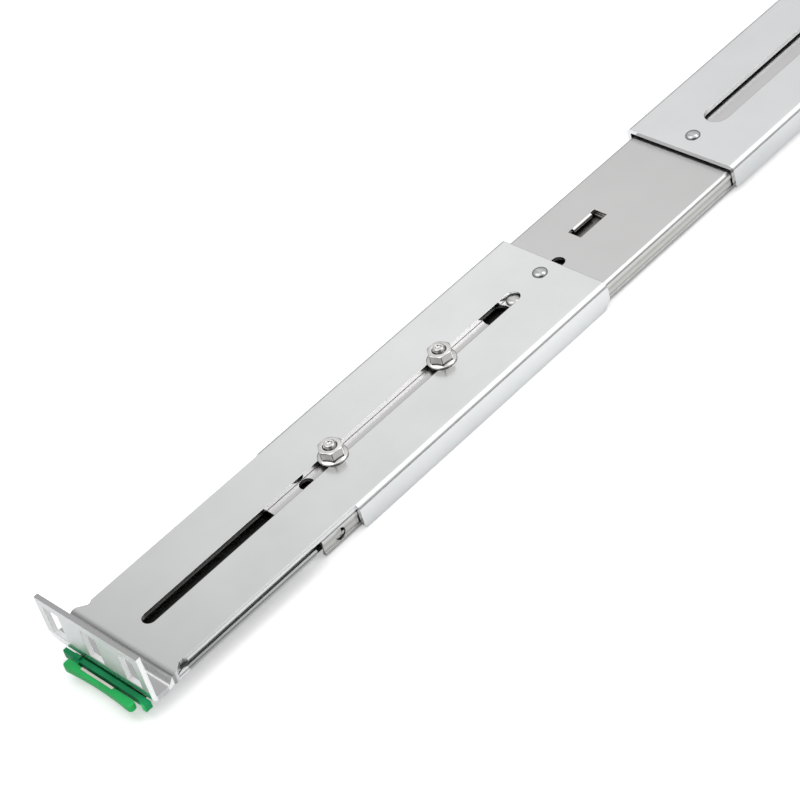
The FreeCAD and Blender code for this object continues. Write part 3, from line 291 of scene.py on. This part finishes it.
def graded(material, axis, stops):
    """A slow change of tone across the part: places in metres on one axis, each with its level."""
    tree = material.node_tree
    shader = tree.nodes["Principled BSDF"]
    before = shader.inputs["Base Color"].links[0].from_socket
    split = tree.nodes.new("ShaderNodeSeparateXYZ")
    tree.links.new(tree.nodes["Texture Coordinate"].outputs["Object"], split.inputs[0])
    first, last = stops[0][0], stops[-1][0]
    span = tree.nodes.new("ShaderNodeMapRange")
    span.inputs["From Min"].default_value = first
    span.inputs["From Max"].default_value = last
    tree.links.new(split.outputs[axis], span.inputs["Value"])
    ramp = tree.nodes.new("ShaderNodeValToRGB")
    for place, level in stops[2:]:
        ramp.color_ramp.elements.new((place - first) / (last - first))
    for element, (place, level) in zip(ramp.color_ramp.elements, stops):
        element.position = (place - first) / (last - first)
        element.color = (*level, 1.0) if isinstance(level, tuple) else (level, level, level, 1.0)
    tree.links.new(span.outputs["Result"], ramp.inputs["Fac"])
    product = tree.nodes.new("ShaderNodeVectorMath")
    product.operation = "MULTIPLY"
    tree.links.new(before, product.inputs[0])
    tree.links.new(ramp.outputs["Color"], product.inputs[1])
    tree.links.new(product.outputs["Vector"], shader.inputs["Base Color"])


def step(tree, value, off, on):
    """0 where the value is at off or beyond it, 1 at on."""
    ramp = tree.nodes.new("ShaderNodeMapRange")
    ramp.inputs["From Min"].default_value = off
    ramp.inputs["From Max"].default_value = on
    tree.links.new(value, ramp.inputs["Value"])
    return ramp.outputs["Result"]


def combined(tree, operation, one, other):
    """Two values made into one, multiplied or the larger of them."""
    pair = tree.nodes.new("ShaderNodeMath")
    pair.operation = operation
    tree.links.new(one, pair.inputs[0])
    tree.links.new(other, pair.inputs[1])
    return pair.outputs["Value"]


def toned_where(material, axis, stops, limits):
    """graded, but only where every limit holds: place or facing, the axis, where off and on."""
    tree = material.node_tree
    shader = tree.nodes["Principled BSDF"]
    before = shader.inputs["Base Color"].links[0].from_socket
    graded(material, axis, stops)
    toned = shader.inputs["Base Color"].links[0].from_socket
    sources = {"place": tree.nodes["Texture Coordinate"].outputs["Object"],
               "facing": tree.nodes["Geometry"].outputs["Normal"]}
    share = None
    for source, limit_axis, off, on in limits:
        split = tree.nodes.new("ShaderNodeSeparateXYZ")
        tree.links.new(sources[source], split.inputs[0])
        within = step(tree, split.outputs[limit_axis], off, on)
        share = within if share is None else combined(tree, "MULTIPLY", share, within)
    choice = tree.nodes.new("ShaderNodeMix")
    choice.data_type = "RGBA"
    tree.links.new(share, choice.inputs["Factor"])
    tree.links.new(before, choice.inputs["A"])
    tree.links.new(toned, choice.inputs["B"])
    tree.links.new(choice.outputs["Result"], shader.inputs["Base Color"])


# Where its sheared edges lie: the value at which a limit is off, and the one at which it is on.
flange_back = (0.00165, 0.00155)
above_web = (0.0000, 0.0004)
flange_top = (0.0133, 0.0135)
slot_side = (0.00250, 0.00244)
slot_begins = (0.060, 0.064)
turned_right = (-0.6, -0.8)
turned_up = (0.6, 0.8)
torn_line = (-0.00142, -0.00130)
torn_tone = 0.55
# the painted highlight on the cut walls, above white
cut_light = (1.30, 1.30, 1.29)
dull_top = (0.42, 0.42, 0.42, 1.0)
flange_matt = 0.6
flange_roughness = 0.32
slot_roughness = 0.14


def sheared_edges(material):
    """Cut edges: dull along the top of the flange, and a painted highlight brighter than white on
    the walls of its windows and the stud slot.
    """
    tree = material.node_tree
    shader = tree.nodes["Principled BSDF"]
    before = shader.inputs["Base Color"].links[0].from_socket
    smooth = shader.inputs["Roughness"].links[0].from_socket
    place = tree.nodes.new("ShaderNodeSeparateXYZ")
    tree.links.new(tree.nodes["Texture Coordinate"].outputs["Object"], place.inputs[0])
    facing = tree.nodes.new("ShaderNodeSeparateXYZ")
    tree.links.new(tree.nodes["Geometry"].outputs["Normal"], facing.inputs[0])
    across = tree.nodes.new("ShaderNodeMath")
    across.operation = "ABSOLUTE"
    tree.links.new(place.outputs["Y"], across.inputs[0])

    # the flange, the slot, and the walls of both that face right
    in_flange = combined(tree, "MULTIPLY", step(tree, place.outputs["X"], *flange_back),
                         step(tree, place.outputs["Z"], *above_web))
    in_slot = combined(tree, "MULTIPLY", step(tree, across.outputs["Value"], *slot_side),
                       step(tree, place.outputs["X"], *slot_begins))
    facing_right = step(tree, facing.outputs["Y"], *turned_right)
    window_wall = combined(tree, "MULTIPLY", in_flange, facing_right)
    slot_wall = combined(tree, "MULTIPLY", in_slot, facing_right)
    upper = combined(tree, "MULTIPLY", in_flange, step(tree, place.outputs["Z"], *flange_top))
    top = combined(tree, "MULTIPLY", upper, step(tree, facing.outputs["Z"], *turned_up))

    # walls of the windows and slot painted brighter than white as a painted highlight, darker where
    # the punch tore the sheet, and the dull top edge
    torn = tree.nodes.new("ShaderNodeMapRange")
    torn.inputs["From Min"].default_value = torn_line[0]
    torn.inputs["From Max"].default_value = torn_line[1]
    torn.inputs["To Min"].default_value = torn_tone
    tree.links.new(place.outputs["Z"], torn.inputs["Value"])
    lit_cut = tree.nodes.new("ShaderNodeVectorMath")
    lit_cut.operation = "SCALE"
    lit_cut.inputs[0].default_value = cut_light
    tree.links.new(torn.outputs["Result"], lit_cut.inputs["Scale"])
    cut_highlight = tree.nodes.new("ShaderNodeMix")
    cut_highlight.data_type = "RGBA"
    tree.links.new(combined(tree, "MAXIMUM", window_wall, slot_wall), cut_highlight.inputs["Factor"])
    tree.links.new(before, cut_highlight.inputs["A"])
    tree.links.new(lit_cut.outputs["Vector"], cut_highlight.inputs["B"])
    duller = tree.nodes.new("ShaderNodeMix")
    duller.data_type = "RGBA"
    duller.inputs["B"].default_value = dull_top
    tree.links.new(top, duller.inputs["Factor"])
    tree.links.new(cut_highlight.outputs["Result"], duller.inputs["A"])
    tree.links.new(duller.outputs["Result"], shader.inputs["Base Color"])

    # the flange is partly matt, its window walls wholly, and the slot's wall is burnished
    face = tree.nodes.new("ShaderNodeMath")
    face.operation = "MULTIPLY"
    face.inputs[1].default_value = flange_matt
    tree.links.new(in_flange, face.inputs[0])
    metal = tree.nodes.new("ShaderNodeMapRange")
    metal.inputs["To Min"].default_value = 1.0
    metal.inputs["To Max"].default_value = 0.0
    tree.links.new(combined(tree, "MAXIMUM", face.outputs["Value"], window_wall),
                   metal.inputs["Value"])
    tree.links.new(metal.outputs["Result"], shader.inputs["Metallic"])
    rough = tree.nodes.new("ShaderNodeMix")
    rough.inputs["B"].default_value = flange_roughness
    tree.links.new(in_flange, rough.inputs["Factor"])
    tree.links.new(smooth, rough.inputs["A"])
    burnish = tree.nodes.new("ShaderNodeMix")
    burnish.inputs["B"].default_value = slot_roughness
    tree.links.new(slot_wall, burnish.inputs["Factor"])
    tree.links.new(rough.outputs["Result"], burnish.inputs["A"])
    tree.links.new(burnish.outputs["Result"], shader.inputs["Roughness"])


# Painted light and shade along the rail: post flange, lower plate and joggle with a painted
# highlight and a painted shade on its bends, and the web, painted brighter towards the sleeve.
# Across it the right-hand side carries a little painted shade.
joggle_and_web_light = [(0.0000, 1.10), (0.0015, 1.10), (0.0017, 0.60), (0.0056, 0.60), (0.0060, 1.25),
                  (0.0077, 1.25), (0.0081, 0.35), (0.0086, 0.22), (0.0090, 0.55), (0.0096, 0.78),
                  (0.0200, 0.82), (0.0500, 0.90), (0.0900, 0.94), (0.1200, 0.98), (0.1600, 1.00)]
right_side_shade = [(-0.0218, 0.955), (-0.0080, 0.965), (0.0050, 1.00), (0.0218, 1.00)]
right_wall = [("facing", "Y", -0.90, -0.99), ("place", "Y", -0.0150, -0.0160)]
# painted light on the walls that face right, strongest in front of the sleeve
right_wall_light = [(0.000, 1.25), (0.060, 1.25), (0.064, 1.10), (0.100, 1.10), (0.190, 1.10)]
# painted shade on the lower part of the side wings
wing = [("place", "X", 0.0135, 0.0140), ("place", "X", 0.0650, 0.0645),
        ("place", "Z", -0.0017, -0.0020), ("place", "Y", -0.0150, -0.0160)]
wing_shade = [(-0.0060, 0.62), (-0.0036, 0.62), (-0.0030, 0.50), (-0.0018, 0.50)]
front_zinc = sheet_metal("bright_zinc", (0.840, 0.845, 0.847), 0.25, 0.030, 0.03)
graded(front_zinc, "X", joggle_and_web_light)
graded(front_zinc, "Y", right_side_shade)
sheared_edges(front_zinc)
toned_where(front_zinc, "X", right_wall_light, right_wall)
toned_where(front_zinc, "Z", wing_shade, wing)
dress("front_bracket", front_zinc)


# The rear bracket is the same zinc plated sheet, longer and 0.8 mm higher, so that it can slide
# over the end of the front one. Painted shade dulls its walls that face right and, more deeply, the
# faces that look back, as its post flange does; painted light brightens the faces that look
# forward.
rear_wall_shade = [(0.250, 0.90), (0.300, 0.92), (0.600, 0.95)]
zinc = sheet_metal("rear_zinc", (0.830, 0.836, 0.843), 0.25, 0.030, 0.03)
# painted shade on the right-hand walls and the faces that look back, painted light on those forward
toned_where(zinc, "X", rear_wall_shade, right_wall)
toned_where(zinc, "X", [(0.600, 0.72), (0.700, 0.72)], [("facing", "X", 0.6, 0.8)])
toned_where(zinc, "X", [(0.240, 1.05), (0.260, 1.05)], [("facing", "X", -0.6, -0.8)])
dress("rear_bracket", zinc)


# The outer member of the slide is cold rolled steel, a warmer grey than the brackets and smoother,
# drawn to shape. Along its side run straight stripes of painted light and shade that follow its
# profile, and under the stud slot of the front bracket it carries painted shade.
side_light_bands = [(-0.0090, (0.82, 0.82, 0.80)), (-0.0062, (0.82, 0.82, 0.80)),
                (-0.0058, (1.02, 1.01, 0.97)), (-0.0052, (1.02, 1.01, 0.97)),
                (-0.0048, (0.80, 0.80, 0.77)), (-0.0040, (0.80, 0.80, 0.77)),
                (-0.0037, (1.02, 1.01, 0.98)), (-0.0016, (1.02, 1.01, 0.98))]
slot_shade = [("place", "X", 0.060, 0.065), ("place", "X", 0.1830, 0.1820),
              ("place", "Y", 0.0008, -0.0008), ("place", "Y", -0.0027, -0.0024)]
rolled_steel = sheet_metal("cold_rolled_steel", (0.678, 0.669, 0.669), 0.27, 0.020, 0.004,
                           grain=0.01)
toned_where(rolled_steel, "Z", side_light_bands, right_wall)
toned_where(rolled_steel, "X", [(0.060, 0.84), (0.200, 0.84)], slot_shade)
dress("outer_member", rolled_steel)


# The middle and inner members are drawn from the same steel. They carry a film of grease, and
# painted shade darkens them where they lie deep in the slide.
greased_shaded_steel = sheet_metal("greased_shaded_steel", (0.400, 0.390, 0.375), 0.42, 0.030, 0.020,
                            corner_reach=0.0120, corner_open=0.95, corner_dark=0.42,
                            corner_curve=2.2)
dress("middle_member", greased_shaded_steel)
dress("inner_member", greased_shaded_steel)


# The ball retainers are thin plain steel strip, pressed to shape, with a pocket for each ball.
# They run loose between the members.
strip_steel = sheet_metal("retainer_strip", (0.560, 0.560, 0.555), 0.40, 0.05, 0.10, edge=0.0001)
for node in ("outer_ball_retainer", "inner_ball_retainer_left", "inner_ball_retainer_right"):
    dress(node, strip_steel)


# The latch's return spring is wire and the lever's is a leaf. Both are tempered, which leaves them
# darker and bluer than the other steel.
spring_steel = sheet_metal("tempered_spring", (0.300, 0.305, 0.325), 0.35, 0.06, 0.10,
                           edge=0.00008)
for node in ("latch_return_spring", "lever_leaf_spring"):
    dress(node, spring_steel)


# The bearing balls are hard steel, ground and polished. They lie in the grooves between the
# members, held at their places by the retainers.
ball_steel = sheet_metal("polished_balls", (0.840, 0.840, 0.835), 0.12, 0.01, 0.03, edge=0.00001)
for node in ("outer_balls", "inner_balls"):
    dress(node, ball_steel)


# The small hardware is turned or headed steel, bright nickel plated: the collars and washers under
# the rear nuts, and the rivets of the latch and the lever.
# its rounded edges carry painted shade, and painted shade darkens it deeply where parts lie close
nickel = sheet_metal("bright_nickel", (0.800, 0.792, 0.775), 0.12, 0.02, 0.03, edge=0.00014,
                     edge_light=0.30, corner_reach=0.0010, corner_open=0.70, corner_dark=0.03)
for node in ("rear_shouldered_collars", "rear_clamp_washers", "latch_guide_rivets",
             "lever_pivot_rivet"):
    dress(node, nickel)


# The latch bar is a steel strip with a yellowish passivated plating. It shows as a thin pale line
# in the recess on top of the green handle, and rivets guide it.
latch_steel = sheet_metal("latch_strip", (0.780, 0.790, 0.700), 0.30, 0.03, 0.04, edge=0.0001)
dress("latch_bar", latch_steel)


# The four M4 flange nuts, cold formed and nickel plated: a sloping round flange, rounded hexagon
# corners turned off at the top, and a countersunk thread. Each stands on its bracket or washer.
def turned_rings(name, rings, around, material, body, replaced):
    """Turned pieces from rings, each a height and a function from angle and height to radius.
    replaced is the CAD node and, for each copy, its place along the rail, its height, and whether
    the last ring joins the first, as round a bore, or both ends are flat."""
    mesh = bpy.data.meshes.new(name)
    shape = bmesh.new()
    for middle, base, closed in replaced[1]:
        loops = []
        for height, radius in rings:
            loop = []
            for turn_step in range(around):
                angle = math.tau * turn_step / around
                far = radius(angle, height)
                loop.append(shape.verts.new((middle + far * math.cos(angle),
                                             far * math.sin(angle), base + height)))
            loops.append(loop)
        pairs = list(zip(loops, loops[1:]))
        if closed:
            pairs.append((loops[-1], loops[0]))
        else:
            shape.faces.new(list(reversed(loops[0])))
            shape.faces.new(loops[-1])
        for low, high in pairs:
            for k in range(around):
                after = (k + 1) % around
                shape.faces.new((low[k], low[after], high[after], high[k]))
    bmesh.ops.recalc_face_normals(shape, faces=shape.faces)
    for face in shape.faces:
        face.smooth = True
    shape.to_mesh(mesh)
    shape.free()
    mesh.materials.append(material)
    piece = bpy.data.objects.new(name, mesh)
    bpy.context.scene.collection.objects.link(piece)
    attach(piece, body)
    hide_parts(replaced[0])


# each pair of studs along the rail, and the height at which its nuts sit
stud_rows = (("front", (0.0925, 0.139), 0.0), ("rear", (0.350, 0.560), 0.0018))
nut_high = 0.0040
flank = 0.0035
widest_corner = 0.00404
corner_sharpness = 60
flat_direction = 22
flange_radius = 0.00465
flange_edge = 0.00055
flange_fall = 3.0
flange_lip = 0.0002
neck_radius = 0.0030
neck_high = 0.00130
crown_radius = 0.0041
crown_top = 0.0029
crown_swell = 0.0012
crown_high = 0.0007
nut_sides = 120


def hexagon(angle):
    """Rounded hexagon, tightened until a corner stands eight degrees off the rail's direction."""
    total = sum(max(0.0, math.cos(angle - math.radians(flat_direction + 60 * side)))
                ** corner_sharpness for side in range(6))
    return min(widest_corner, flank * total ** (-1.0 / corner_sharpness))


def nut_flank(angle, height):
    """The sloping flange, then the hexagon, domed where its corners are turned off."""
    sloped = flange_radius - flange_lip - max(0.0, height - flange_edge) * flange_fall
    below_top = (nut_high - height) / crown_high
    crown = crown_radius
    if below_top <= 1.0:
        crown = crown_top + crown_swell * math.sqrt(1.0 - (1.0 - below_top) ** 2)
    return max(sloped, neck_radius if height < neck_high else min(hexagon(angle), crown))


def plain(radius):
    return lambda angle, height: radius


# the nut's profile from its seat up and back down the thread, flank heights in 0.01 mm
flank_heights = (60, 70, 80, 90, 100, 105, 110, 118, 128, 131, 134, 140, 170, 230, 290, 330, 345,
                 355, 362, 369, 376, 382, 388, 392, 395)
nut_rings = [(0.0000, plain(0.00225)), (0.0000, plain(0.00445)), (0.00006, plain(0.00458)),
             (0.0002, plain(flange_radius)), (0.0004, plain(0.00464)), (0.00052, plain(0.00457))]
nut_rings += [(height / 100000.0, nut_flank) for height in flank_heights]
nut_rings += [(0.00398, plain(0.00272)), (nut_high, plain(0.00260)), (nut_high, plain(0.00236)),
              (0.00396, plain(0.00226)), (0.0038, plain(0.00206)), (0.0036, plain(0.00201)),
              (0.0003, plain(0.00201)), (0.0001, plain(0.00212))]
for place, row, seat in stud_rows:
    turned_rings(place + "_nuts", nut_rings, nut_sides, nickel, "slide_outer",
                 (place + "_flange_nuts", [(middle, seat, True) for middle in row]))


# The studs are pressed into the web of the slide from below. Their ends stand one millimetre out
# of the nuts: rolled thread, a rounded lead and a small round hollow left by the heading tool.
thread_pitch = 0.0007
thread_depth = 0.00024
stud_radius = 0.00197
stud_beyond = 0.0010
stud_sides = 72
thread_shown = 0.0019
thread_rings = 31
ring_step = 0.00005


def rolled_thread(angle, height):
    """One thread winding up the stud: a V between the crests."""
    turn_part = (height / thread_pitch - angle / math.tau) % 1.0
    return stud_radius - thread_depth * abs(2.0 * turn_part - 1.0)


stud_head = [(-0.0028, plain(0.0029)), (-0.00275, plain(0.00312)), (-0.0026, plain(0.00318)),
             (-0.00235, plain(0.00318)), (-0.0022, plain(0.0031)), (-0.0022, plain(0.0019))]
# the lead and the hollow, as depth under the stud's top and radius
stud_end = ((0.00030, 0.00172), (0.00016, 0.00164), (0.00005, 0.00152), (0.0, 0.00138),
            (0.0, 0.00104), (0.00006, 0.00094), (0.00030, 0.00084), (0.00048, 0.00060),
            (0.00054, 0.00030))
for place, row, seat in stud_rows:
    top = seat + nut_high + stud_beyond
    start = top - thread_shown
    rings = stud_head + [(start + ring_step * k, rolled_thread) for k in range(thread_rings)]
    rings += [(top - under, plain(radius)) for under, radius in stud_end]
    turned_rings(place + "_stud_pair", rings, stud_sides, nickel, "slide_outer",
                 (place + "_studs", [(middle, 0.0, False) for middle in row]))


# The pressed dimples that guide and stop the brackets, punched up out of the sheet: smooth round
# caps that the punch burnished, so that they mirror the studio where the sheet round them blurs it.
dimple_high = 0.00102
cap_rings = 16
cap_sides = 72
burnished = sheet_metal("burnished_zinc", (0.560, 0.562, 0.564), 0.07, 0.010, 0.02, edge=0.00002,
                        corner_reach=0.0015, corner_open=0.8)
burnished_steel = sheet_metal("burnished_steel", (0.600, 0.595, 0.590), 0.12, 0.010, 0.02,
                              edge=0.00002)


def pressed_cap(name, middle, level, dimple_radius, fullness, material, body):
    """A dome on the sheet; a lower fullness gives a flatter top and steeper sides."""
    mesh = bpy.data.meshes.new(name)
    shape = bmesh.new()
    loops = []
    for ring in range(cap_rings):
        lean = math.radians(90.0 * ring / (cap_rings - 0.5))
        far = dimple_radius * math.cos(lean) ** fullness
        rise = dimple_high * math.sin(lean)
        loops.append([shape.verts.new((middle + far * math.cos(math.tau * k / cap_sides),
                                       far * math.sin(math.tau * k / cap_sides), level + rise))
                      for k in range(cap_sides)])
    for low, high in zip(loops, loops[1:]):
        for k in range(cap_sides):
            after = (k + 1) % cap_sides
            shape.faces.new((low[k], low[after], high[after], high[k]))
    shape.faces.new(loops[-1])
    shape.faces.new(list(reversed(loops[0])))
    bmesh.ops.recalc_face_normals(shape, faces=shape.faces)
    for face in shape.faces:
        face.smooth = len(face.verts) == 4
    shape.to_mesh(mesh)
    shape.free()
    mesh.materials.append(material)
    piece = bpy.data.objects.new(name, mesh)
    bpy.context.scene.collection.objects.link(piece)
    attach(piece, body)


pressed_cap("sleeve_dimple_cap", 0.1831, 0.0, 0.00245, 0.80, burnished,
            "front_support")
pressed_cap("rear_dimple_cap", 0.2564, 0.0008, 0.00245, 0.80, burnished,
            "rear_support")
pressed_cap("outer_dimple_cap", 0.1706, -0.0016, 0.00238, 0.60, burnished_steel,
            "slide_outer")


# The green mouldings: the handle at the front, which pulls the latch bar, and the small lever
# inside. Glass filled nylon, half matt, with a faint grain, and rounder edges with a painted
# highlight on them.
def moulding(name, colour, edge_highlight, roughness, edge):
    """Moulded plastic or rubber: edge_highlight is the colour painted on its edges as a highlight,
    edge their radius.
    """
    material = bpy.data.materials.new(name)
    material.use_nodes = True
    tree = material.node_tree
    shader = tree.nodes["Principled BSDF"]
    shader.inputs["Specular IOR Level"].default_value = 0.25
    place = tree.nodes.new("ShaderNodeTexCoord")

    # slow clouds in the colour
    cloud = tree.nodes.new("ShaderNodeTexNoise")
    cloud.inputs["Scale"].default_value = 160.0
    cloud.inputs["Detail"].default_value = 4.0
    tree.links.new(place.outputs["Object"], cloud.inputs["Vector"])
    tone = tree.nodes.new("ShaderNodeValToRGB")
    tone.color_ramp.elements[0].position = 0.3
    tone.color_ramp.elements[0].color = (*[c * 0.90 for c in colour], 1.0)
    tone.color_ramp.elements[1].position = 0.7
    tone.color_ramp.elements[1].color = (*[min(1.0, c * 1.08) for c in colour], 1.0)
    tree.links.new(cloud.outputs["Fac"], tone.inputs["Fac"])

    # round edges, with a painted highlight along them
    rounding = tree.nodes.new("ShaderNodeBevel")
    rounding.samples = 6
    rounding.inputs["Radius"].default_value = edge
    geometry = tree.nodes.new("ShaderNodeNewGeometry")
    turned = tree.nodes.new("ShaderNodeVectorMath")
    turned.operation = "DOT_PRODUCT"
    tree.links.new(rounding.outputs["Normal"], turned.inputs[0])
    tree.links.new(geometry.outputs["Normal"], turned.inputs[1])
    edge_share = tree.nodes.new("ShaderNodeMapRange")
    edge_share.inputs["From Min"].default_value = 0.98
    edge_share.inputs["From Max"].default_value = 0.80
    edge_share.inputs["To Max"].default_value = 0.5
    tree.links.new(turned.outputs["Value"], edge_share.inputs["Value"])
    edge_lit = tree.nodes.new("ShaderNodeMix")
    edge_lit.data_type = "RGBA"
    edge_lit.inputs["B"].default_value = (*edge_highlight, 1.0)
    tree.links.new(edge_share.outputs["Result"], edge_lit.inputs["Factor"])
    tree.links.new(tone.outputs["Color"], edge_lit.inputs["A"])
    tree.links.new(edge_lit.outputs["Result"], shader.inputs["Base Color"])

    # the grain of the mould, in the gloss and in the relief
    grain = tree.nodes.new("ShaderNodeTexNoise")
    grain.inputs["Scale"].default_value = 3200.0
    grain.inputs["Detail"].default_value = 2.0
    tree.links.new(place.outputs["Object"], grain.inputs["Vector"])
    sheen = tree.nodes.new("ShaderNodeMapRange")
    sheen.inputs["To Min"].default_value = roughness - 0.05
    sheen.inputs["To Max"].default_value = roughness + 0.08
    tree.links.new(grain.outputs["Fac"], sheen.inputs["Value"])
    tree.links.new(sheen.outputs["Result"], shader.inputs["Roughness"])
    relief = tree.nodes.new("ShaderNodeBump")
    relief.inputs["Strength"].default_value = 0.25
    relief.inputs["Distance"].default_value = 0.00005
    tree.links.new(grain.outputs["Fac"], relief.inputs["Height"])
    tree.links.new(rounding.outputs["Normal"], relief.inputs["Normal"])
    tree.links.new(relief.outputs["Normal"], shader.inputs["Normal"])
    return material


# painted light and shade on the handle: the bar in front keeps the full green, painted shade makes
# the plate behind it deeper, and painted light makes the ears paler
plate_shade = (0.14, 0.55, 0.78)
ear_light = (1.9, 1.5, 1.4)
green = moulding("green_nylon", (0.020, 0.590, 0.140), (0.180, 0.850, 0.320), 0.42, 0.0004)
graded(green, "X", [(-0.0060, 1.0), (-0.0027, 1.0), (-0.0024, plate_shade), (0.0000, plate_shade),
                    (0.0120, (0.5, 0.7, 0.7))])
graded(green, "Y", [(-0.0250, ear_light), (-0.0190, ear_light), (-0.0160, 1.0), (0.0165, 1.0),
                    (0.0185, ear_light), (0.0250, ear_light)])
dress("release_handle", green)
dress("disconnect_lever", green)


# The stop at the closed end of the slide is moulded black rubber, matt, held in the outer member.
# The middle member comes to rest against it.
rubber = moulding("black_rubber", (0.018, 0.018, 0.019), (0.045, 0.045, 0.046), 0.62, 0.0003)
dress("rear_bumper", rubber)
